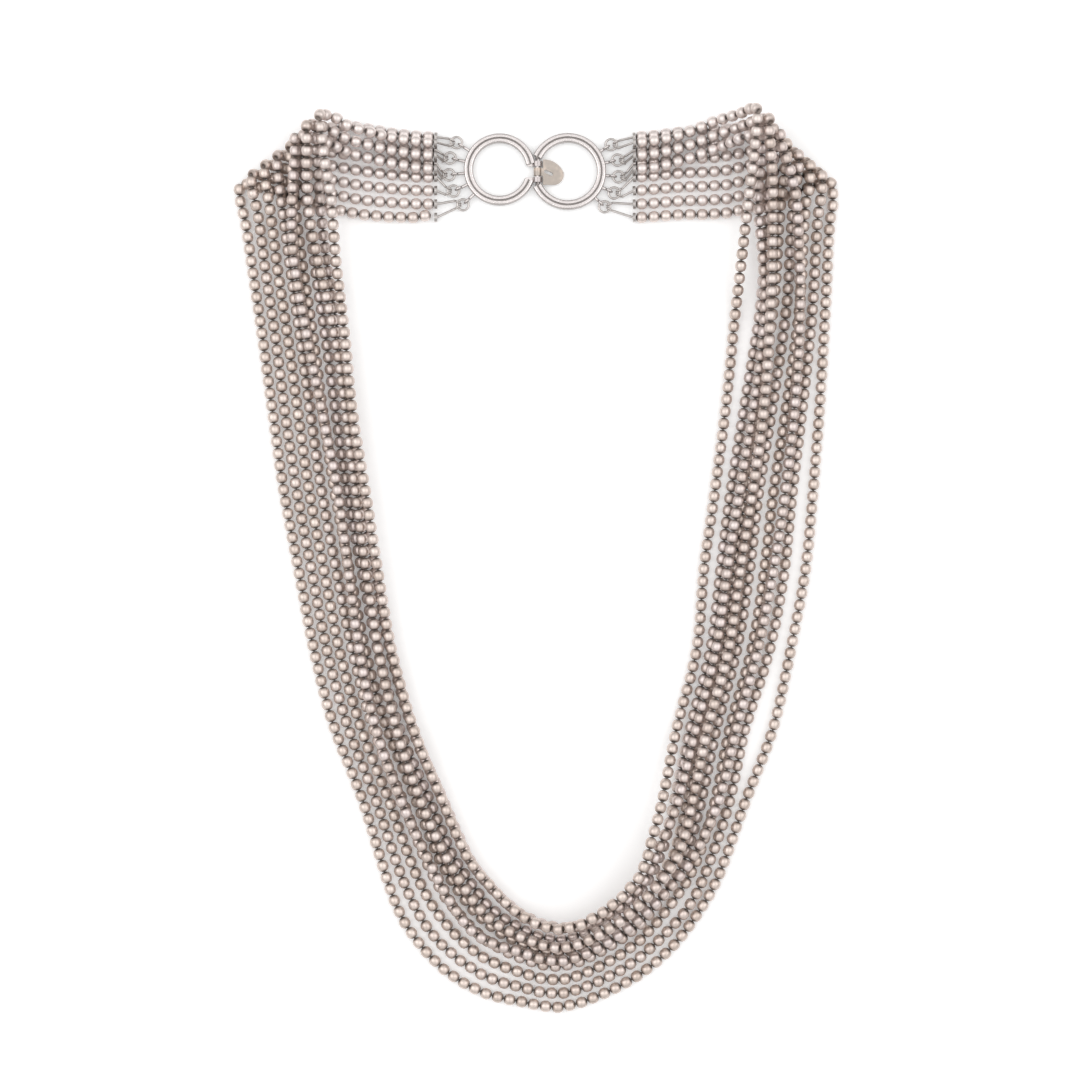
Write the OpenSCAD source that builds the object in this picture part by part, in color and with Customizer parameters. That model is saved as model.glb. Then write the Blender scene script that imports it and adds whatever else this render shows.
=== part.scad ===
/* [Bead strands] */
// Diameter of one bead across its strand
bead_d = 2.95; // [2.7:0.05:3.1]
// Free space kept between two strands that lie on each other
strand_gap = 0.16; // [0.12:0.02:0.3]
// Free space kept between two strands side by side
side_gap = 0.06; // [0.04:0.01:0.1]
// Longest stretch of a strand between two of its sections
ring_step = 8; // [6:0.5:10]
// How steeply a hanging strand climbs over another, rise per length
climb = 0.3; // [0.2:0.05:0.5]
// How steeply a strand climbs where it turns over at a corner
turn_climb = 2; // [1.5:0.1:2.5]

/* [Jump rings and end links] */
// Outer diameter of a jump ring
jump_d = 3.4; // [3.3:0.1:3.6]
// Wire thickness of a jump ring
jump_wire = 0.6; // [0.5:0.05:0.65]
// Wire thickness of an end link
link_wire = 0.45; // [0.35:0.05:0.5]
// Outer diameter of an end link's loop
link_d = 2; // [1.9:0.05:2.1]
// Diameter of the cup on a strand's end
cup_d = 2.4; // [1.8:0.1:2.8]
// Length of the cup on a strand's end
cup_len = 0.7; // [0.5:0.1:0.9]
// Angle between the two end links on one jump ring
link_spread = 54; // [50:1:60]

/* [Clasp rings] */
// Outer diameter of the open ring
left_ring_d = 18; // [17:0.5:19]
// Outer diameter of the ring with the bar
right_ring_d = 19.2; // [18.8:0.1:19.4]
// Width of both rings' band
band_w = 2.3; // [2:0.1:2.5]
// Height of both rings' band
band_h = 2.2; // [1.9:0.1:2.4]
// Width of the groove along the band
groove_w = 0.5; // [0.3:0.1:0.8]
// Depth of the groove along the band
groove_depth = 0.35; // [0.2:0.05:0.5]
// Distance from a clasp ring's centre to its jump rings
jump_reach = 12.8; // [12.7:0.1:13.2]
// Angle from one jump ring to the next
jump_pitch = 19; // [18:0.5:20]
// Wire thickness of an eye soldered on a clasp ring
eye_wire = 0.55; // [0.4:0.05:0.6]
// Outer diameter of an eye
eye_d = 2.1; // [2:0.05:2.2]

/* [Bar, hooks and lever] */
// Diameter of the bar
bar_d = 1; // [0.9:0.05:1.1]
// Radial clearance of a hook over the bar
hook_gap = 0.15; // [0.12:0.01:0.2]
// Thickness of a hook
hook_t = 0.55; // [0.4:0.05:0.65]
// Width of a hook along the bar
hook_w = 1.3; // [1:0.1:1.6]
// Distance between the middles of the two hooks
hook_pitch = 4; // [3.8:0.1:4.4]
// Radial clearance of the lever's barrel on the bar
barrel_gap = 0.07; // [0.04:0.01:0.1]
// Wall of the lever's barrel
barrel_wall = 0.4; // [0.3:0.05:0.5]
// Length of the lever's barrel
barrel_len = 2; // [1.6:0.1:2.2]
// Length of the lever's plate along the bar
lever_len = 6.4; // [6.2:0.1:6.4]
// Reach of the lever's plate from the bar's axis
lever_reach = 6.6; // [6.5:0.1:6.8]
// Thickness of the lever's plate
lever_t = 0.6; // [0.5:0.05:0.8]
// Length of the slot in the lever
slot_len = 2.4; // [2:0.1:2.6]
// Width of the slot in the lever
slot_w = 0.85; // [0.7:0.05:0.95]

/* [Hidden] */

// The plan is drawn on a grid of quarter millimetres, x to the right and y towards the wearer's front.
grid = 0.25;
// Middle of the finished piece on that grid
middle = [536.2, 560.4];

function plan(p) = [(p[0] - middle[0]) * grid, (middle[1] - p[1]) * grid];

// Routes of the ten strands, points chosen by hand on the grid, from the left links to the right ones
ROUTES = [
    [[434, 142], [420, 141.5], [390, 137], [350, 129], [338, 121], [328, 118], [322, 120], [323, 134],
     [327, 165], [333, 205], [336, 260], [346, 340], [353, 410], [366, 490], [380, 580], [392, 650],
     [413, 725], [443, 800], [468, 857], [490, 884], [520, 913], [560, 926], [602, 908], [638, 873],
     [650, 838], [661, 800], [676, 730], [697, 650], [704, 570], [714, 500], [727, 400], [737, 300],
     [747, 200], [751, 165], [754, 130], [754, 116], [748, 114], [738, 117], [715, 121], [684, 134],
     [650, 141], [636, 142]],
    [[434, 155], [420, 154.5], [390, 150], [350, 141], [325, 130], [315, 127.5], [309, 129.5],
     [309.5, 143], [309, 205], [318, 260], [336, 340], [346, 410], [356, 490], [368, 580], [379, 650],
     [396, 725], [421, 800], [447, 857], [485, 914], [520, 935], [560, 946], [602, 929], [640, 899],
     [676, 855], [692, 800], [706, 730], [728, 650], [740, 570], [751, 500], [764, 400], [770, 300],
     [771, 200], [769, 168], [766, 140], [766, 125.5], [760, 123.5], [750, 126.5], [718, 134],
     [684, 147], [650, 154], [636, 155]],
    [[434, 168.5], [420, 168], [390, 163], [350, 153], [312, 140], [302, 137], [296, 139],
     [296.5, 152], [293, 205], [294, 260], [308, 340], [322, 410], [338, 490], [350, 580], [360, 650],
     [376, 725], [402, 800], [428, 857], [460, 915], [484, 938], [520, 950], [560, 960], [602, 943],
     [640, 915], [688, 862], [718, 800], [735, 730], [757, 650], [773, 570], [784, 500], [795, 400],
     [800, 300], [795, 200], [788, 172], [779, 149], [778, 135], [772, 133], [762, 136], [720, 147],
     [684, 160], [650, 168], [636, 168.5]],
    [[434, 135], [420, 134.5], [390, 131], [350, 124], [332, 125.5], [322, 125], [316, 127],
     [316.5, 141], [320.5, 205], [326, 260], [338, 340], [347.5, 410], [359, 490], [376, 580],
     [390, 650], [411, 725], [443, 800], [468, 857], [478, 872], [490, 887], [520, 913.5], [560, 926.5],
     [602, 915], [640, 884], [658, 845], [677, 800], [696, 730], [716, 650], [727, 570], [738, 500],
     [755, 400], [765, 300], [757, 200], [760, 168], [762, 139], [762, 125], [756, 123], [746, 126],
     [718, 127], [684, 129.5], [650, 134], [636, 135]],
    [[434, 148.5], [420, 148.5], [390, 145], [350, 138.5], [319, 137.5], [309, 134.5], [303, 136.5],
     [303.5, 150.5], [307.5, 205], [313.5, 260], [325.5, 340], [335, 410], [346.5, 490],
     [363.5, 580], [377.5, 650], [398, 725], [429.5, 800], [453, 857], [470, 882], [487, 905],
     [520, 928], [560, 940], [602, 922], [640, 890], [663, 845], [674.5, 800], [690, 730],
     [711, 650], [721, 570], [730, 500], [746, 400], [762, 300], [768, 200], [772, 170],
     [774, 148.5], [774, 134.5], [768, 132.5], [758, 135.5], [720, 141], [684, 143], [650, 147.5],
     [636, 148.5]],
    [[434, 162], [420, 162], [390, 159], [350, 153], [306, 147], [296, 144], [290, 146], [290.5, 160],
     [295, 205], [301, 260], [313, 340], [322, 410], [334, 490], [351, 580], [365, 650], [385.5, 725],
     [416, 800], [438.5, 857], [460, 893], [485.5, 922], [520, 943], [560, 953], [602, 936.5],
     [640, 906.5], [659, 879], [674, 853], [688, 800], [703, 730], [724, 650], [735.5, 570], [744, 500],
     [760, 400], [775, 300], [781, 200], [784, 178], [786, 158], [786, 144], [780, 142], [770, 145],
     [722, 155], [684, 157], [650, 161], [636, 162]],
    [[434, 175.5], [420, 175.5], [390, 173], [350, 167.5], [293, 156.5], [283, 153.5], [277, 155.5],
     [277.5, 169.5], [282, 205], [288.5, 260], [300, 340], [309.5, 410], [321, 490], [338, 580],
     [352, 650], [372.5, 725], [402.5, 800], [424, 857], [447, 900], [466, 922], [484, 939],
     [520, 957.5], [560, 966.5], [602, 950.5], [640, 923.5], [667, 889], [684.5, 859], [701.5, 800],
     [716, 730], [737, 650], [750, 570], [758, 500], [774, 400], [788, 300], [793.5, 200], [796, 186],
     [798, 167.5], [798, 153.5], [792, 151.5], [782, 154.5], [725, 169], [684, 171], [650, 174.5],
     [636, 175.5]],
    [[434, 189], [420, 189], [390, 187], [350, 182], [280, 166], [270, 163], [264, 165], [264.5, 179],
     [269.5, 205], [275.5, 260], [287.5, 340], [297, 410], [308.5, 490], [325.5, 580], [339, 650],
     [360, 725], [389, 800], [409, 857], [430, 902], [455, 934], [483, 957], [520, 972],
     [560, 980], [602, 965], [640, 940], [674, 900], [695, 865], [715.5, 800], [729.5, 730],
     [752, 650], [765, 570], [773, 500], [788, 400], [801, 300], [806, 200], [809, 190], [810, 177],
     [810, 163], [804, 161], [794, 164], [728, 183], [684, 185], [650, 188], [636, 189]],
    [[434, 202.5], [420, 202.5], [390, 201], [350, 196.5], [267, 175.5], [257, 172.5], [251, 174.5],
     [251.5, 188.5], [257, 210], [263, 260], [275, 340], [284, 410], [296, 490], [313, 580],
     [326.5, 650], [347, 725], [376, 800], [394.5, 857], [413, 903], [438, 941], [483, 975],
     [520, 986.5], [560, 993.5], [602, 979.5], [640, 957], [686, 910], [706, 871.5], [730, 800],
     [745, 730], [770, 650], [785, 570], [792, 500], [804, 400], [814, 300], [818.5, 215],
     [821, 199], [822, 186.5], [822, 172.5], [816, 170.5], [806, 173.5], [730, 197], [684, 199],
     [650, 202], [636, 202.5]],
    [[434, 216], [420, 216], [390, 215], [350, 211], [254, 185], [244, 182], [238, 184], [238.5, 197],
     [244, 220], [250, 260], [262, 340], [271.5, 410], [283, 490], [300, 580], [313.5, 650],
     [333, 725], [362.5, 800], [380, 857], [396, 905], [415, 938], [446, 971], [485, 993],
     [520, 1001], [560, 1007], [602, 994], [640, 974], [672, 947], [698, 913], [718, 878],
     [746, 800], [773, 730], [791, 650], [806, 570], [813, 500], [821, 400], [827, 300],
     [831, 220], [834, 204], [834, 195], [834, 182], [828, 180], [818, 183], [732, 211], [684, 213],
     [650, 215.5], [636, 216]]
];
// Order in which the strands are laid down, each one whole, over those before it
LAY_ORDER = [9, 8, 7, 6, 5, 4, 3, 2, 1, 0];
// Jump ring of each strand, from 0 at the inner side of the clasp, and on which side of its middle it leaves
RING_OF = [0, 1, 2, 0, 1, 2, 3, 3, 4, 4];
LEAVES = [-1, -1, -1, 1, 1, 1, 1, -1, 1, -1];
// Route point, counted from either end, at which a strand turns out of its row
turn_point = 6;
// Points tried between two sections
tries = 3;
sides = 8;
// How far a strand's tube lies inside its beads
tube_inset = 0.08;

// Half of a strand's width across its flats, and the smallest distance of two strands' middles
bead_r = bead_d / 2;
lay = bead_d + strand_gap;
beside = bead_d + side_gap;

// Smooth curve through the chosen points
function bend(p, k, t) =
    let (b = p[k], c = p[k + 1], a = p[max(k - 1, 0)], d = p[min(k + 2, len(p) - 1)])
    let (bc = norm(c - b), ab = norm(b - a), cd = norm(d - c))
    let (u = (c - a) * bc / (bc + ab), v = (d - b) * bc / (bc + cd))
    b * (2 * t * t * t - 3 * t * t + 1) + u * (t * t * t - 2 * t * t + t)
    + c * (3 * t * t - 2 * t * t * t) + v * (t * t * t - t * t);

// Plan of one strand at its sections: x, y and 0 where it hangs, 1 in a row, 2 on the stretch that turns
function sections(i) = let (p = [for (q = ROUTES[i]) plan(q)], last = len(p) - 1) concat(
    [for (k = [0 : last - 1]) let (n = max(1, ceil(norm(p[k + 1] - p[k]) / ring_step)))
        for (j = [0 : n - 1]) let (q = bend(p, k, j / n))
            [q[0], q[1], (k == turn_point - 1 || k == last - turn_point) ? 2
                : (k < turn_point || k > last - turn_point) ? 1 : 0]],
    [[p[last][0], p[last][1], 1]]);

// Height that a point needs to lie on one stretch of a strand, 0 where it passes beside it
function over(q, a, b) =
    (abs(q[0] - a[0]) > 13 || abs(q[1] - a[1]) > 13) ? 0 :
    let (ab = [b[0] - a[0], b[1] - a[1]], aq = [q[0] - a[0], q[1] - a[1]])
    let (t = max(0, min(1, (ab * aq) / (ab * ab))), away = norm(aq - ab * t))
    away >= beside ? 0 : a[2] + (b[2] - a[2]) * t + sqrt(lay * lay - away * away);

// Points between the sections, each with the place along the strand
function between(s) = let (last = len(s) - 1) concat(
    [for (k = [0 : last - 1]) for (j = [0 : s[k][2] == 2 ? 0 : tries - 1])
        [s[k][0] + (s[k + 1][0] - s[k][0]) * j / tries, s[k][1] + (s[k + 1][1] - s[k][1]) * j / tries,
         k + j / tries]],
    [[s[last][0], s[last][1], last]]);

// Rise that a strand can make up to each section: steeper in its rows and at the turns into them
function rises(s, k = 0, sum = 0, out = []) = k == len(s) ? out :
    let (steep = k > 0 && s[k - 1][2] > 0 ? turn_climb : climb)
    let (now = k == 0 ? 0 : sum + steep * norm([s[k][0] - s[k - 1][0], s[k][1] - s[k - 1][1]]))
    rises(s, k + 1, now, concat(out, [now]));

// Heights at the sections from the heights needed, no steeper than a strand climbs
function settle(s, needs) =
    let (at = rises(s))
    [for (k = [0 : len(s) - 1]) max([for (m = needs) let (low = floor(m[2]), high = ceil(m[2]))
        m[3] - (k < low ? at[low] - at[k] : k > high ? at[k] - at[high] : 0)])];

// One strand laid over the strands before it: x, y, z at its sections
function lay_strand(i, before) =
    let (s = sections(i))
    let (needs = [for (q = between(s))
        [q[0], q[1], q[2], max([bead_r, for (o = before) for (k = [0 : len(o) - 2])
            over(q, o[k], o[k + 1])])]])
    let (z = settle(s, needs))
    [for (k = [0 : len(s) - 1]) [s[k][0], s[k][1], z[k]]];

function laid(n) = n == 0 ? [] :
    let (before = laid(n - 1))
    concat(before, [lay_strand(LAY_ORDER[n - 1], before)]);

function place(list, value) = [for (k = [0 : len(list) - 1]) if (list[k] == value) k][0];

function unit(v) = v / norm(v);

// Tube swept along the sections of one strand
module tube(path) {
    last = len(path) - 1;
    r = (bead_r - tube_inset) / cos(180 / sides);
    points = [for (k = [0 : last])
        let (d = unit(path[min(k + 1, last)] - path[max(k - 1, 0)]))
        let (across = unit(cross(d, [0, 0, 1])), up = cross(across, d))
        for (j = [0 : sides - 1]) let (a = 360 * (j + 0.5) / sides)
            path[k] + across * r * cos(a) + up * r * sin(a)];
    walls = [for (k = [0 : last - 1]) for (j = [0 : sides - 1])
        let (a = k * sides + j, b = k * sides + (j + 1) % sides)
        each [[a, a + sides, b], [b, a + sides, b + sides]]];
    polyhedron(points, concat(walls, [[for (j = [0 : sides - 1]) j],
        [for (j = [sides - 1 : -1 : 0]) last * sides + j]]), convexity = 10);
}

module strand(i) {
    color([0.78, 0.75, 0.73])
        tube(laid(place(LAY_ORDER, i) + 1)[place(LAY_ORDER, i)]);
}

// Middles of the two clasp rings
left_middle = plan([499.5, 167.5]);
right_middle = plan([568, 169.5]);
// Height of every ring's middle plane
ring_z = band_h / 2;
// Height of the wire of a jump ring
jump_z = max(ring_z, link_d / 2, eye_d / 2) + 0.05;
jump_r = (jump_d - jump_wire) / 2;
left_r = (left_ring_d - band_w) / 2;
right_r = (right_ring_d - band_w) / 2;
left_turn = 186;
right_turn = -6;

function jump_angle(side, k) = side == 0 ? left_turn - (2 - k) * jump_pitch : right_turn + (2 - k) * jump_pitch;
function ring_middle(side) = side == 0 ? left_middle : right_middle;
function jump_middle(side, k) = ring_middle(side)
    + jump_reach * [cos(jump_angle(side, k)), sin(jump_angle(side, k))];

// Section of a band: rounded corners and a groove along the top, about its middle
module band_section() {
    round = band_h * 0.2;
    difference() {
        union() {
            square([band_w - 2 * round, band_h], center = true);
            square([band_w, band_h - 2 * round], center = true);
            for (x = [-1, 1], y = [-1, 1])
                translate([x * (band_w / 2 - round), y * (band_h / 2 - round)])
                    circle(r = round, $fn = 24);
        }
        translate([0, band_h / 2])
            square([groove_w, 2 * groove_depth], center = true);
    }
}

module band_arc(c, r, from, to) {
    translate([c[0], c[1], ring_z])
        rotate([0, 0, from])
            rotate_extrude(angle = to - from, $fn = 96)
                translate([r, 0])
                    band_section();
}

module rod(a, b, d) {
    v = b - a;
    translate(a)
        rotate([0, acos(v[2] / norm(v)), atan2(v[1], v[0])])
            cylinder(d = d, h = norm(v), $fn = 24);
}

module hoop(d, wire) {
    rotate_extrude($fn = 48)
        translate([(d - wire) / 2, 0])
            circle(d = wire, $fn = 20);
}

// Eye on the outer edge of a clasp ring: a short neck and a standing loop round the jump ring's wire
module eye(side, k, edge) {
    a = jump_angle(side, k);
    c = ring_middle(side);
    at = jump_reach - jump_r;
    loop_r = (eye_d - eye_wire) / 2;
    translate([c[0] + at * cos(a), c[1] + at * sin(a), jump_z])
        rotate([90, 0, a])
            hoop(eye_d, eye_wire);
    rod([c[0] + (edge - 0.3) * cos(a), c[1] + (edge - 0.3) * sin(a), jump_z],
        [c[0] + (at - loop_r) * cos(a), c[1] + (at - loop_r) * sin(a), jump_z], eye_wire * 1.4);
}

// Place of the bar and of what turns on it
bar_x = left_middle[0] + left_ring_d / 2 + 0.5;
bar_y = plan([537, 170])[1];
bar_z = bar_d / 2 + hook_gap + hook_t + 0.1;
hook_r = bar_d / 2 + hook_gap + hook_t;
hook_inner = bar_d / 2 + hook_gap;

// Hook at the end of the open ring, over the top of the bar
module hook(y) {
    translate([bar_x, y, bar_z])
        rotate([90, 0, 0])
            rotate([0, 0, -50])
                rotate_extrude(angle = 230, $fn = 48)
                    translate([hook_inner, -hook_w / 2])
                        square([hook_t, hook_w]);
}

// Angle on the open ring at which its band meets a hook
function hook_angle(y) = asin((y - left_middle[1]) / left_r);

module clasp_ring_left() {
    color([0.76, 0.72, 0.70]) {
        high = bar_y + hook_pitch / 2;
        low = bar_y - hook_pitch / 2;
        band_arc(left_middle, left_r, hook_angle(high), 360 + hook_angle(low));
        for (y = [high, low]) {
            hook(y);
            root = left_middle[0] + left_r * cos(hook_angle(y));
            translate([root - band_w * 0.35, y - hook_w / 2, bar_z - hook_t])
                cube([bar_x - hook_inner - 0.05 - root + band_w * 0.35, hook_w, hook_t]);
        }
        for (k = [0 : 4])
            eye(0, k, left_ring_d / 2);
    }
}

// Half the bar's length, from one end of the band to the other
bar_half = sqrt(right_r * right_r - (right_middle[0] - bar_x) * (right_middle[0] - bar_x));

module clasp_ring_right() {
    color([0.76, 0.72, 0.70]) {
        open = 180 - asin(bar_half / right_r);
        band_arc(right_middle, right_r, -open, open);
        translate([bar_x, right_middle[1], bar_z])
            rotate([90, 0, 0])
                cylinder(d = bar_d, h = 2 * bar_half + band_w * 0.6, center = true, $fn = 48);
        for (k = [0 : 4])
            eye(1, k, right_ring_d / 2);
    }
}

// Plate of the lever from above, straight beside the hooks and round at its free end
module lever_outline() {
    near = hook_r + 0.15;
    low = lever_len * 0.4;
    intersection() {
        union() {
            translate([near, -lever_len / 2])
                square([lever_reach - low - near, lever_len]);
            translate([near, low - lever_len / 2])
                square([lever_reach - near, lever_len - low]);
            translate([lever_reach - low, low - lever_len / 2])
                circle(r = low, $fn = 64);
        }
        translate([lever_reach * 0.25, -lever_len * 0.35])
            circle(r = lever_len * 0.84, $fn = 96);
    }
}

// Slot through the plate, at a slant
module lever_slot() {
    translate([lever_reach * 0.42, -lever_len * 0.03])
        rotate(-25) {
            square([slot_len - slot_w, slot_w], center = true);
            for (x = [-1, 1])
                translate([x * (slot_len - slot_w) / 2, 0])
                    circle(d = slot_w, $fn = 24);
        }
}

lever_tilt = asin((bar_z - lever_t / 2 - 0.15) / lever_reach);

module clasp_lever() {
    color([0.55, 0.52, 0.46])
        translate([bar_x, bar_y, bar_z])
            rotate([0, lever_tilt, 0])
                difference() {
                    union() {
                        translate([0, 0, -lever_t / 2])
                            linear_extrude(lever_t)
                                lever_outline();
                        translate([0, -barrel_len / 2, -lever_t / 2])
                            cube([hook_r + 0.5, barrel_len, lever_t]);
                        rotate([90, 0, 0])
                            cylinder(r = bar_d / 2 + barrel_gap + barrel_wall, h = barrel_len,
                                center = true, $fn = 48);
                    }
                    rotate([90, 0, 0])
                        cylinder(r = bar_d / 2 + barrel_gap, h = barrel_len + 1, center = true, $fn = 48);
                    translate([0, 0, -lever_t])
                        linear_extrude(2 * lever_t)
                            lever_slot();
                }
}

module jump_ring(side, k) {
    c = jump_middle(side, k);
    color([0.72, 0.70, 0.69])
        translate([c[0], c[1], jump_z])
            hoop(jump_d, jump_wire);
}

// Two first or last sections of a strand, the outer one first
function strand_end(side, i) = let (r = laid(place(LAY_ORDER, i) + 1)[place(LAY_ORDER, i)], last = len(r) - 1)
    side == 0 ? [r[0], r[1]] : [r[last], r[last - 1]];

// Link from a strand's end cup to its jump ring: cup, shank and a standing loop
module end_link(side, i) {
    ends = strand_end(side, i);
    out = unit(ends[0] - ends[1]);
    k = RING_OF[i];
    c = jump_middle(side, k);
    turn = (side == 0 ? 180 : 0)
        + LEAVES[i] * (side == 0 ? -1 : 1) * link_spread / 2;
    at = [c[0] + jump_r * cos(turn), c[1] + jump_r * sin(turn), jump_z];
    cup_end = ends[0] + out * cup_len;
    away = norm([cup_end[0] - at[0], cup_end[1] - at[1]]);
    rise = atan2(cup_end[2] - at[2], away);
    loop_r = (link_d - link_wire) / 2;
    outer = at + loop_r * [cos(rise) * cos(turn), cos(rise) * sin(turn), sin(rise)];
    color([0.72, 0.70, 0.69]) {
        translate(at)
            rotate([90, 0, turn])
                hoop(link_d, link_wire);
        rod(outer, cup_end - out * 0.15, link_wire * 1.4);
        rod(ends[0], cup_end, cup_d);
    }
}

clasp_ring_left();
clasp_ring_right();
clasp_lever();
jump_ring(0, 0);  // jump_ring_left_1
jump_ring(0, 1);  // jump_ring_left_2
jump_ring(0, 2);  // jump_ring_left_3
jump_ring(0, 3);  // jump_ring_left_4
jump_ring(0, 4);  // jump_ring_left_5
jump_ring(1, 0);  // jump_ring_right_1
jump_ring(1, 1);  // jump_ring_right_2
jump_ring(1, 2);  // jump_ring_right_3
jump_ring(1, 3);  // jump_ring_right_4
jump_ring(1, 4);  // jump_ring_right_5
end_link(0, 0);  // end_link_left_1
end_link(0, 1);  // end_link_left_2
end_link(0, 2);  // end_link_left_3
end_link(0, 3);  // end_link_left_4
end_link(0, 4);  // end_link_left_5
end_link(0, 5);  // end_link_left_6
end_link(0, 6);  // end_link_left_7
end_link(0, 7);  // end_link_left_8
end_link(0, 8);  // end_link_left_9
end_link(0, 9);  // end_link_left_10
end_link(1, 0);  // end_link_right_1
end_link(1, 1);  // end_link_right_2
end_link(1, 2);  // end_link_right_3
end_link(1, 3);  // end_link_right_4
end_link(1, 4);  // end_link_right_5
end_link(1, 5);  // end_link_right_6
end_link(1, 6);  // end_link_right_7
end_link(1, 7);  // end_link_right_8
end_link(1, 8);  // end_link_right_9
end_link(1, 9);  // end_link_right_10
strand(0);  // strand_1
strand(1);  // strand_2
strand(2);  // strand_3
strand(3);  // strand_4
strand(4);  // strand_5
strand(5);  // strand_6
strand(6);  // strand_7
strand(7);  // strand_8
strand(8);  // strand_9
strand(9);  // strand_10
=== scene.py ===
import math
import random
import bmesh
import bpy
from mathutils import Matrix, Vector


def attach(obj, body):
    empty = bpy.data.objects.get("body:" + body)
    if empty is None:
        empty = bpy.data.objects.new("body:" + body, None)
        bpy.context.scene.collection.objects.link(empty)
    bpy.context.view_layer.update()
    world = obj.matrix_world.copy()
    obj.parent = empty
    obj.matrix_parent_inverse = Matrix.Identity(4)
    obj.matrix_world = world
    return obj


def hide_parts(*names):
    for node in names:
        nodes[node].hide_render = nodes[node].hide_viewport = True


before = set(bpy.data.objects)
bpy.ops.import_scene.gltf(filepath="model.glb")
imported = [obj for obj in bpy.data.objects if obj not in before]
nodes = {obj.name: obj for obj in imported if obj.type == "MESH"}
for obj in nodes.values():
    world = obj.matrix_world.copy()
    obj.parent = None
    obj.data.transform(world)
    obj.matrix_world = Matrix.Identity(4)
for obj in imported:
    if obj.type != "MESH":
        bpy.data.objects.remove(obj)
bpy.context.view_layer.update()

mm = 0.001
random.seed(11)

# Camera: almost straight above, from the wearer's front
cameraSettings = {
    "lookAt": (0.95 * mm, 5.1 * mm, 3 * mm),
    "elevation": 89,
    "distance": 700 * mm,
    "field": 270 * mm,
    "nearest": 0.01,
    "farthest": 20,
}


def makeCamera(s):
    data = bpy.data.cameras.new("camera")
    camera = bpy.data.objects.new("camera", data)
    bpy.context.scene.collection.objects.link(camera)
    tilt = math.radians(s["elevation"])
    back = Vector((0, -math.cos(tilt), math.sin(tilt)))
    camera.location = Vector(s["lookAt"]) + back * s["distance"]
    camera.rotation_euler = (-back).to_track_quat("-Z", "Y").to_euler()
    data.sensor_fit = "HORIZONTAL"
    data.angle = 2 * math.atan(s["field"] / 2 / s["distance"])
    data.clip_start, data.clip_end = s["nearest"], s["farthest"]
    bpy.context.scene.camera = camera


makeCamera(cameraSettings)
print("camera placed")


# A socket that can be used in sums, and one method that adds any other node
class Wire:
    def __init__(self, tree, socket=None):
        self.tree, self.socket = tree, socket

    def node(self, kind, inputs=None, out=0, ramp=None, **settings):
        new = self.tree.nodes.new(kind)
        for key, value in settings.items():
            setattr(new, key, value)
        if ramp:
            stops = new.color_ramp.elements
            while len(stops) < len(ramp):
                stops.new(0.5)
            for stop, (place, tone) in zip(stops, ramp):
                stop.position = place
                stop.color = tuple(tone) + (1,)
        for key, value in (inputs or {}).items():
            if isinstance(value, Wire):
                self.tree.links.new(value.socket, new.inputs[key])
            else:
                new.inputs[key].default_value = value
        return Wire(self.tree, new.outputs[out])

    def math(self, operation, *values):
        return self.node("ShaderNodeMath", dict(enumerate(values)), operation=operation)

    def __add__(self, other):
        return self.math("ADD", self, other)

    def __radd__(self, other):
        return self.math("ADD", other, self)

    def __sub__(self, other):
        return self.math("SUBTRACT", self, other)

    def __rsub__(self, other):
        return self.math("SUBTRACT", other, self)

    def __mul__(self, other):
        return self.math("MULTIPLY", self, other)

    def __rmul__(self, other):
        return self.math("MULTIPLY", other, self)

    def __pow__(self, other):
        return self.math("POWER", self, other)

    def __rpow__(self, other):
        return self.math("POWER", other, self)

    def __lt__(self, other):
        return self.math("LESS_THAN", self, other)

    def __gt__(self, other):
        return self.math("GREATER_THAN", self, other)


# From the low tone to the high one: socket 0 is the share, 6 and 7 are the tones
def blendTones(w, amount, low, high):
    return w.node("ShaderNodeMix", {0: amount, 6: low, 7: high}, out=2, data_type="RGBA")


def solid(tone):
    return tuple(tone) + (1,)


def newMaterial(name):
    material = bpy.data.materials.new(name)
    material.use_nodes = True
    tree = material.node_tree
    return material, Wire(tree), tree.nodes["Principled BSDF"]


socketNames = {"color": "Base Color", "rough": "Roughness", "metal": "Metallic", "normal": "Normal"}


# Links or sets the shader's own sockets
def feed(w, shader, **wires):
    for name, value in wires.items():
        key = socketNames[name]
        if isinstance(value, Wire):
            w.tree.links.new(value.socket, shader.inputs[key])
        else:
            shader.inputs[key].default_value = value


# Noise fixed to the object, or to the place given
def noise(w, scale, detail, place=None):
    place = place or w.node("ShaderNodeTexCoord", out="Object")
    return w.node("ShaderNodeTexNoise", {"Vector": place, "Scale": scale, "Detail": detail},
                  out="Fac")


def attribute(w, name):
    return w.node("ShaderNodeAttribute", out="Fac", attribute_name=name)


def axisOf(w, vector, axis):
    return w.node("ShaderNodeSeparateXYZ", {0: vector}, out=axis)


# A value held between 0 and 1
def held(w, value):
    return w.math("MINIMUM", w.math("MAXIMUM", value, 0.0), 1.0)


def bump(w, height, strength, distance):
    return w.node("ShaderNodeBump", {"Height": height, "Strength": strength, "Distance": distance})


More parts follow.
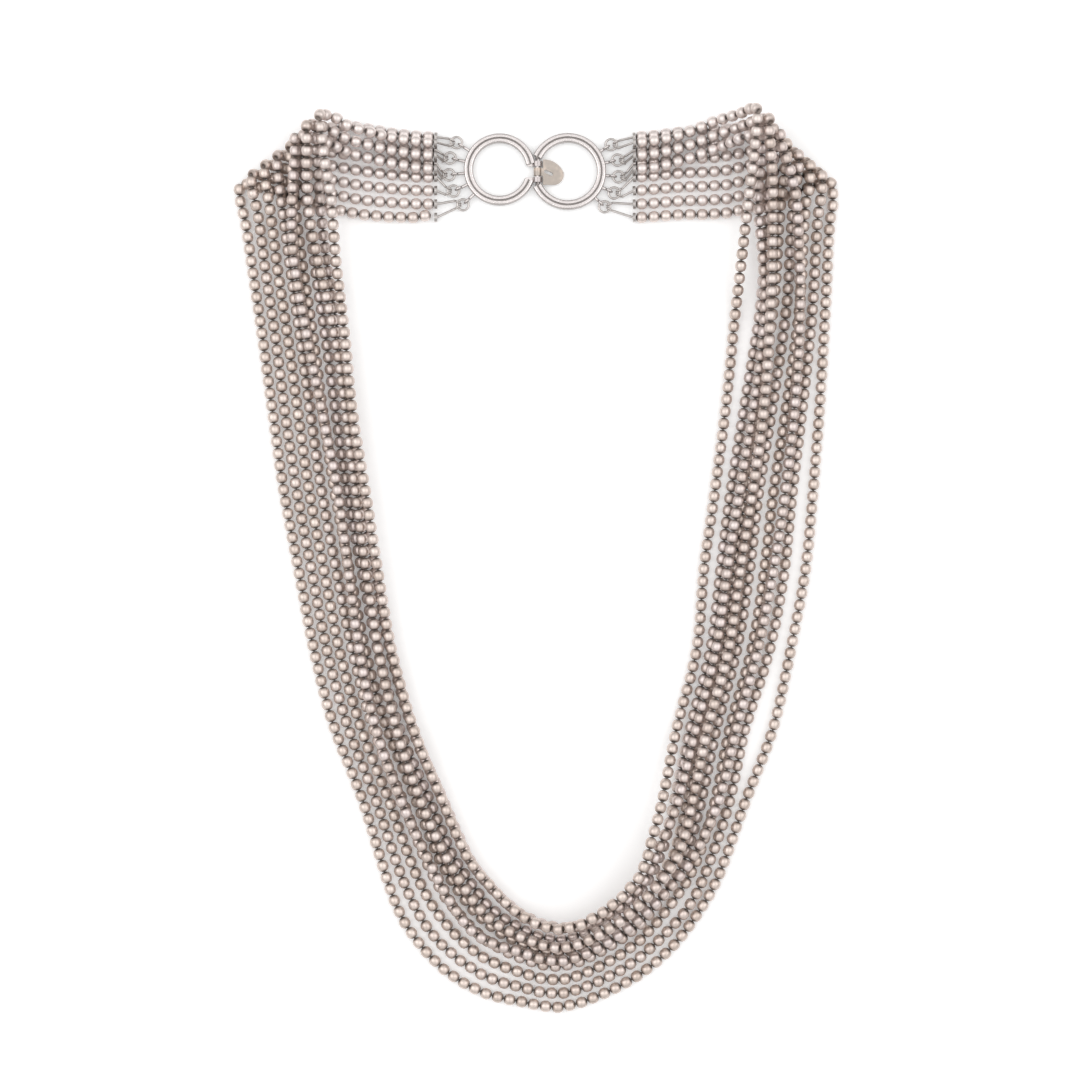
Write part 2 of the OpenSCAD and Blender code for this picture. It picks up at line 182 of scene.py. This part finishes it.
beadFinish = {
    "tone": (0.79, 0.68, 0.60),  # warm satin silver
    "cool": (0.74, 0.65, 0.635),  # strands that look cooler
    "bright": (0.85, 0.775, 0.75),  # painted light: the rows beside the clasp, brighter as they take more light
    "dull": (0.57, 0.47, 0.41),  # the duller beads
    "gap": (0.12, 0.085, 0.065),  # painted shade where the beads touch, round the holes
    "rough": 0.3,
    "metal": 0.82,
    "cloudScale": 900,
    "satinScale": 6500,
    "gapFrom": 0.55,  # share of the bead's half length where the painted shade starts
    "gapSlope": 2.3,
    "gapDepth": 0.8,
    "gapLessOnRows": 0.4,  # how much less painted shade the rows beside the clasp have, under their painted light
    "gapRough": 0.2,
    "dullByDraw": 0.55,  # how far a bead's own draw dulls it
    "dullByCloud": 0.35,
    "rowLightShare": 0.7,
    "cloudRough": 0.12,
    "satinStrength": 0.18,
    "satinDepth": 0.04 * mm,
}


# Satin silver: each bead and strand a little different, painted shade towards the holes where the
# beads touch, painted light on the rows beside the clasp
def makeBeadSilver(s):
    material, w, shader = newMaterial("beadSilver")
    tone = attribute(w, "beadTone")
    end = attribute(w, "beadEnd")
    hue = attribute(w, "strandHue")
    rowLight = attribute(w, "beadRowLight")
    cloud = noise(w, s["cloudScale"], 3)
    satin = noise(w, s["satinScale"], 2)
    silver = blendTones(w, hue, solid(s["tone"]), solid(s["cool"]))
    dulled = tone * s["dullByDraw"] + cloud * s["dullByCloud"]
    color = blendTones(w, dulled, silver, solid(s["dull"]))
    # painted light: the rows beside the clasp are blended towards a brighter silver
    color = blendTones(w, rowLight * s["rowLightShare"], color, solid(s["bright"]))
    # painted shade: a darker tone towards each bead's holes, where its neighbours touch it
    dark = held(w, (end - s["gapFrom"]) * s["gapSlope"])
    gapShade = dark * (s["gapDepth"] - rowLight * s["gapLessOnRows"])
    color = blendTones(w, gapShade, color, solid(s["gap"]))
    feed(w, shader, color=color, metal=s["metal"],
         rough=s["rough"] + cloud * s["cloudRough"] + dark * s["gapRough"],
         normal=bump(w, satin, s["satinStrength"], s["satinDepth"]))
    return material


claspFinish = {
    "tone": (0.79, 0.74, 0.73),
    "worn": (0.60, 0.545, 0.53),
    "side": (0.42, 0.39, 0.375),  # painted shade on the upright sides
    "groove": (0.20, 0.18, 0.17),  # darker down in the groove
    "rough": 0.2,
    "grooveHalf": 0.3 * mm,  # each way from the band's middle
    "grooveLow": 1.5 * mm,  # heights that the darker groove colour lies between
    "grooveHigh": 2.1 * mm,
    "bandMiddle": 1.15 * mm,  # from a ring's outer edge
    "edgeDepth": 0.02 * mm,  # what counts as a ring's upper edge
    "hook": (0.40, 0.36, 0.355),  # painted shade on the hooks round the bar
    "hookNear": 0.58 * mm,  # from the bar's axis
    "hookFar": 1.35 * mm,
    "hookSpan": 2.7 * mm,  # each way along the bar
    "barrel": 0.97 * mm,  # radius of the lever's barrel
    "patchScale": 500,
    "patchPower": 2.0,
    "patchRough": 0.14,
    "sideFrom": 0.97,  # faces that point up less than this get painted shade
    "sideSlope": 2.2,
    "hookShare": 0.8,
    "grooveShare": 0.85,
    "grooveRough": 0.25,
    "grainScale": 1900,
    "grainStrength": 0.22,
    "grainDepth": 0.06 * mm,
}


# Bright silver of the rings: worn patches, hammered grain, painted shade on the upright sides and
# on the hooks, and a dark groove round each ring's own middle
def makeClaspSilver(s):
    material, w, shader = newMaterial("claspSilver")
    place = w.node("ShaderNodeTexCoord", out="Object")
    x, y, z = (axisOf(w, place, axis) for axis in "XYZ")
    grooves = None
    for name in ("clasp_ring_left", "clasp_ring_right"):
        middle, radius = ringMiddle(name, s)
        away = w.math("SQRT", (x - middle[0]) ** 2.0 + (y - middle[1]) ** 2.0)
        band = w.math("ABSOLUTE", away - radius) < s["grooveHalf"]
        grooves = band if grooves is None else w.math("MAXIMUM", grooves, band)
    grooves = grooves * (z > s["grooveLow"]) * (z < s["grooveHigh"])
    patches = noise(w, s["patchScale"], 4)
    grain = w.node("ShaderNodeTexVoronoi", {"Vector": place, "Scale": s["grainScale"]},
                   out="Distance")
    color = blendTones(w, patches ** s["patchPower"], solid(s["tone"]), solid(s["worn"]))
    upward = axisOf(w, w.node("ShaderNodeNewGeometry", out="Normal"), "Z")
    # painted shade: faces turned away from straight up are darkened
    sides = held(w, (s["sideFrom"] - upward) * s["sideSlope"])
    color = blendTones(w, sides, color, solid(s["side"]))
    barX, barY, barZ = barMiddle(s["barrel"])
    off = w.math("SQRT", (x - barX) ** 2.0 + (z - barZ) ** 2.0)
    along = w.math("ABSOLUTE", y - barY)
    # painted shade on the hooks that curl round the bar
    hookShade = (off > s["hookNear"]) * (off < s["hookFar"]) * (along < s["hookSpan"])
    color = blendTones(w, hookShade * s["hookShare"], color, solid(s["hook"]))
    color = blendTones(w, grooves * s["grooveShare"], color, solid(s["groove"]))
    feed(w, shader, color=color, metal=1.0,
         rough=s["rough"] + patches * s["patchRough"] + grooves * s["grooveRough"],
         normal=bump(w, grain, s["grainStrength"], s["grainDepth"]))
    return material


# Middle and middle radius of one clasp ring, read from its upper and lower edge
def ringMiddle(name, s):
    points = [v.co for v in nodes[name].data.vertices]
    top = max(p.y for p in points)
    bottom = min(p.y for p in points)
    outer = (top - bottom) / 2
    middleY = (top + bottom) / 2
    tops = [p.x for p in points if p.y > top - s["edgeDepth"]]
    middleX = (min(tops) + max(tops)) / 2
    return (middleX, middleY), outer - s["bandMiddle"]


# Axis of the bar, read from the lever's barrel
def barMiddle(barrel):
    points = [v.co for v in nodes["clasp_lever"].data.vertices]
    middleY = (min(p.y for p in points) + max(p.y for p in points)) / 2
    return min(p.x for p in points) + barrel, middleY, max(p.z for p in points) - barrel


leverFinish = {
    "tone": (0.57, 0.49, 0.435),
    "stain": (0.27, 0.25, 0.225),
    "warm": (0.74, 0.60, 0.50),
    "rough": 0.34,
    "brushScale": 9000,
    "brushStretch": 0.08,
    "brushRough": 0.15,
    "brushStrength": 0.2,
    "brushDepth": 0.03 * mm,
    "stainScale": 420,
    "warmFrom": 0.52,
    "warmSlope": 3.0,
}


# Brushed plate, stained in places
def makeLeverMetal(s):
    material, w, shader = newMaterial("leverMetal")
    place = w.node("ShaderNodeTexCoord", out="Object")
    stretched = w.node("ShaderNodeMapping", {"Vector": place,
                                             "Scale": (1.0, s["brushStretch"], 1.0)})
    brush = noise(w, s["brushScale"], 2, stretched)
    stain = noise(w, s["stainScale"], 3)
    color = blendTones(w, stain, solid(s["stain"]), solid(s["tone"]))
    warm = w.math("MAXIMUM", stain - s["warmFrom"], 0.0) * s["warmSlope"]
    color = blendTones(w, warm, color, solid(s["warm"]))
    feed(w, shader, color=color, metal=1.0, rough=s["rough"] + brush * s["brushRough"],
         normal=bump(w, brush, s["brushStrength"], s["brushDepth"]))
    return material


wireFinish = {
    "tone": (0.66, 0.62, 0.60),
    "dull": (0.38, 0.355, 0.34),
    "rough": 0.22,
    "patchScale": 1200,
    "patchPower": 1.5,
    "patchRough": 0.15,
    "fineScale": 8000,
    "fineStrength": 0.12,
    "fineDepth": 0.02 * mm,
}


# Drawn wire of the jump rings and end links
def makeWireSilver(s):
    material, w, shader = newMaterial("wireSilver")
    patches = noise(w, s["patchScale"], 3)
    fine = noise(w, s["fineScale"], 2)
    color = blendTones(w, patches ** s["patchPower"], solid(s["tone"]), solid(s["dull"]))
    feed(w, shader, color=color, metal=1.0, rough=s["rough"] + patches * s["patchRough"],
         normal=bump(w, fine, s["fineStrength"], s["fineDepth"]))
    return material


threadFinish = {
    "tone": (0.30, 0.26, 0.24),
    "dark": (0.14, 0.12, 0.11),
    "rough": 0.7,
    "twistScale": 7000,
    "twistRough": 0.2,
    "twistStrength": 0.4,
    "twistDepth": 0.05 * mm,
}


# Twisted thread
def makeThreadMaterial(s):
    material, w, shader = newMaterial("stringingThread")
    twist = noise(w, s["twistScale"], 2)
    color = blendTones(w, twist, solid(s["dark"]), solid(s["tone"]))
    feed(w, shader, color=color, metal=0.0, rough=s["rough"] + twist * s["twistRough"],
         normal=bump(w, twist, s["twistStrength"], s["twistDepth"]))
    return material


beadSilver = makeBeadSilver(beadFinish)
claspSilver = makeClaspSilver(claspFinish)
leverMetal = makeLeverMetal(leverFinish)
wireSilver = makeWireSilver(wireFinish)
threadMaterial = makeThreadMaterial(threadFinish)
print("finishes made")


# One finish on one exact piece
def dress(name, material):
    mesh = nodes[name].data
    mesh.materials.clear()
    mesh.materials.append(material)


for name in nodes:
    if name.startswith("clasp_ring"):
        dress(name, claspSilver)
    elif name == "clasp_lever":
        dress(name, leverMetal)
    elif name.startswith(("jump_ring", "end_link")):
        dress(name, wireSilver)
print("clasp, jump rings and end links dressed")

# The faceted CAD tubes, as the frame gives them
tubeShape = {
    "sides": 8,
    "merge": 0.005 * mm,
    "leftEndBeyond": 85 * mm,  # only the rows beside the clasp reach so far
}

beadSizes = {
    "diameter": 2.93 * mm,
    "pitch": 3.05 * mm,
    "bore": 0.42 * mm,
    "sides": 12,
    "rows": 5,  # facets from one hole's edge to the other
    "fullness": 0.84,  # 1 is a round bead, less is a fuller one
    "merge": 0.001 * mm,
    "thread": 0.5 * mm,
    "sizeSpread": 0.015,
    "turnReach": 0.45,  # share of the pitch, each way, that a bead's direction is read over
    # where the painted light on the rows beside the clasp lies
    "rowLightBelow": 58 * mm,  # from the middle to the side
    "rowLightBeyond": 82 * mm,  # towards the clasp
    "rowLightFade": 8 * mm,
}


# Centre line of a strand: the CAD tube's rings, walked from its left end along the mesh
def centreLine(name, s):
    bm = bmesh.new()
    bm.from_mesh(nodes[name].data)
    bmesh.ops.remove_doubles(bm, verts=bm.verts, dist=s["merge"])
    row = [v for v in bm.verts if v.co.y > s["leftEndBeyond"] and v.co.x < 0]
    ring = sorted(row, key=lambda v: -v.co.x)[:s["sides"]]
    seen, line = set(ring), []
    while ring:
        line.append(sum((v.co for v in ring), Vector()) / len(ring))
        near = {e.other_vert(v) for v in ring for e in v.link_edges} - seen
        seen |= near
        ring = list(near)
    bm.free()
    return line


# Place at a distance along the line
def alongLine(line, lengths, distance):
    k = 0
    while k < len(lengths) - 2 and lengths[k + 1] < distance:
        k += 1
    share = (distance - lengths[k]) / (lengths[k + 1] - lengths[k])
    return line[k].lerp(line[k + 1], share)


# One bead along Z: an arc from hole to hole, fuller than round, spun about the drilled hole
def beadShape(bm, s):
    radius, full = s["diameter"] / 2, s["fullness"]
    edge = math.asin(s["bore"] / radius)
    arc = []
    for k in range(s["rows"] + 1):
        angle = edge + (math.pi - 2 * edge) * k / s["rows"]
        across, along = math.sin(angle), math.cos(angle)
        height = math.copysign(radius * abs(along) ** full, along)
        arc.append(bm.verts.new((radius * across ** full, 0, height)))
    for pair in zip(arc, arc[1:]):
        bm.edges.new(pair)
    bm.edges.new((arc[0], arc[-1]))
    bmesh.ops.spin(bm, geom=bm.edges[:] + bm.verts[:], cent=(0, 0, 0), axis=(0, 0, 1),
                   angle=2 * math.pi, steps=s["sides"], use_merge=True)
    bmesh.ops.remove_doubles(bm, verts=bm.verts, dist=s["merge"])
    bmesh.ops.recalc_face_normals(bm, faces=bm.faces)


# The thread through one strand's beads, in the second material
def threadMesh(line, width):
    curve = bpy.data.curves.new("thread", "CURVE")
    curve.dimensions = "3D"
    spline = curve.splines.new("POLY")
    spline.points.add(len(line) - 1)
    for point, co in zip(spline.points, line):
        point.co = (*co, 1)
    curve.bevel_depth = width / 2
    curve.bevel_resolution = 1
    curve.use_fill_caps = True
    holder = bpy.data.objects.new("thread", curve)
    bpy.context.scene.collection.objects.link(holder)
    shown = holder.evaluated_get(bpy.context.evaluated_depsgraph_get())
    mesh = bpy.data.meshes.new_from_object(shown)
    bpy.data.objects.remove(holder)
    for face in mesh.polygons:
        face.material_index = 1
        face.use_smooth = True
    return mesh


# Middle line of a strand, kept clear of the floor, and how far along it each point is
def strandLine(name, s):
    line = centreLine(name, tubeShape)
    for point in line:
        point.z = max(point.z, s["diameter"] / 2)
    lengths = [0]
    for a, b in zip(line, line[1:]):
        lengths.append(lengths[-1] + (b - a).length)
    return line, lengths


# Rotation that turns a bead's hole along the line
def lineTurn(line, lengths, middle, reach):
    ahead = alongLine(line, lengths, min(middle + reach, lengths[-1]))
    behind = alongLine(line, lengths, max(middle - reach, 0))
    return (ahead - behind).to_track_quat("Z", "Y").to_matrix().to_4x4()


# Painted light: 1 on the rows beside the clasp, 0 away from them
def rowLightAmount(place, s):
    across, up = s["rowLightBelow"] - abs(place.x), place.y - s["rowLightBeyond"]
    return min(max(min(across, up) / s["rowLightFade"], 0), 1)


def vertsOf(geom):
    return [g for g in geom if isinstance(g, bmesh.types.BMVert)]


# One strand: beads along its tube's middle line, each turned along it, on their thread
def makeStrand(number, s):
    name, label = "strand_%d" % number, "beads_%d" % number
    line, lengths = strandLine(name, s)
    whole = lengths[-1]
    count = int(whole / s["pitch"])
    pitch = whole / count
    bm = bmesh.new()
    beadShape(bm, s)
    floats = bm.verts.layers.float
    tones, ends = floats.new("beadTone"), floats.new("beadEnd")
    hues, rowLights = floats.new("strandHue"), floats.new("beadRowLight")
    hue = random.random()
    for v in bm.verts:
        v[ends] = abs(v.co.z) / (s["diameter"] / 2)
        v[hues] = hue
    template = bm.verts[:] + bm.edges[:] + bm.faces[:]
    for k in range(count):
        middle = (k + 0.5) * pitch
        place = alongLine(line, lengths, middle)
        turn = lineTurn(line, lengths, middle, pitch * s["turnReach"])
        size = 1 - random.random() * s["sizeSpread"]
        spin = Matrix.Rotation(random.random() * 2 * math.pi / s["sides"], 4, "Z")
        verts = vertsOf(bmesh.ops.duplicate(bm, geom=template)["geom"])
        tone, rowLight = random.random(), rowLightAmount(place, s)
        for v in verts:
            v[tones], v[rowLights] = tone, rowLight
        seat = Matrix.Translation(place) @ turn @ spin @ Matrix.Scale(size, 4)
        bmesh.ops.transform(bm, verts=verts, matrix=seat)
    bmesh.ops.delete(bm, geom=vertsOf(template), context="VERTS")
    for face in bm.faces:
        face.smooth = True
    bm.from_mesh(threadMesh(line, s["thread"]))
    mesh = bpy.data.meshes.new(label)
    bm.to_mesh(mesh)
    bm.free()
    mesh.materials.append(beadSilver)
    mesh.materials.append(threadMaterial)
    piece = bpy.data.objects.new(label, mesh)
    bpy.context.scene.collection.objects.link(piece)
    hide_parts(name)
    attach(piece, "necklace")
    return count, whole


strandCount = sum(name.startswith("strand_") for name in nodes)
for number in range(1, strandCount + 1):
    count, whole = makeStrand(number, beadSizes)
    print("strand %d: %d beads on %.0f mm" % (number, count, whole / mm))

stageSettings = {
    "floorHalf": 3,
    "floorTone": (0.9, 0.9, 0.9),
    "floorRough": 0.85,
    "floorLift": 0.2,
    # Tones up from the horizon, and outwards from the middle of the sky
    "dome": ((0.0, (0.2, 0.195, 0.19)), (0.25, (0.42, 0.41, 0.405)), (0.5, (1.0, 1.0, 1.0))),
    "gap": ((0.0, (0.42, 0.415, 0.41)), (0.05, (0.5, 0.495, 0.49)), (0.11, (1.0, 1.0, 1.0))),
    "skyStrength": 1.04,
    "lampSize": (0.7, 1.1),
    "lamps": (
        {"place": (-0.55, 0.1, 0.8), "power": 2.2},
        {"place": (0.55, 0.1, 0.8), "power": 1.76},
    ),
}


# Pale matt surface, lifted a little as in a bright studio
def makeFloor(s):
    bm = bmesh.new()
    bmesh.ops.create_grid(bm, x_segments=1, y_segments=1, size=s["floorHalf"])
    mesh = bpy.data.meshes.new("floor")
    bm.to_mesh(mesh)
    bm.free()
    floor = bpy.data.objects.new("floor", mesh)
    bpy.context.scene.collection.objects.link(floor)
    material, w, shader = newMaterial("paleSurface")
    feed(w, shader, color=solid(s["floorTone"]), metal=0.0, rough=s["floorRough"])
    shader.inputs["Emission Color"].default_value = solid(s["floorTone"])
    shader.inputs["Emission Strength"].default_value = s["floorLift"]
    mesh.materials.append(material)


# Even sky, darker at the horizon, with a narrow dark gap overhead
def makeSky(s):
    world = bpy.data.worlds.new("studio")
    world.use_nodes = True
    sky = Wire(world.node_tree)
    way = sky.node("ShaderNodeTexCoord", out="Generated")
    height = axisOf(sky, way, "Z")
    side = sky.math("ABSOLUTE", axisOf(sky, way, "X"))
    dome = sky.node("ShaderNodeValToRGB", {"Fac": height}, ramp=s["dome"])
    gap = sky.node("ShaderNodeValToRGB", {"Fac": side}, ramp=s["gap"])
    glow = sky.node("ShaderNodeMix", {0: 1.0, 6: dome, 7: gap}, out=2, data_type="RGBA",
                    blend_type="MULTIPLY")
    background = world.node_tree.nodes["Background"]
    world.node_tree.links.new(glow.socket, background.inputs["Color"])
    background.inputs["Strength"].default_value = s["skyStrength"]
    bpy.context.scene.world = world


# One soft lamp, turned towards the middle of the piece
def makeLamp(place, power, size):
    data = bpy.data.lights.new("softLamp", "AREA")
    data.shape, data.size, data.size_y = "RECTANGLE", size[0], size[1]
    data.energy = power
    lamp = bpy.data.objects.new("softLamp", data)
    lamp.location = place
    lamp.rotation_euler = (-Vector(place)).to_track_quat("-Z", "Y").to_euler()
    bpy.context.scene.collection.objects.link(lamp)


makeFloor(stageSettings)
makeSky(stageSettings)
for lamp in stageSettings["lamps"]:
    makeLamp(lamp["place"], lamp["power"], stageSettings["lampSize"])
bpy.context.scene.view_settings.view_transform = "Standard"
print("stage set")
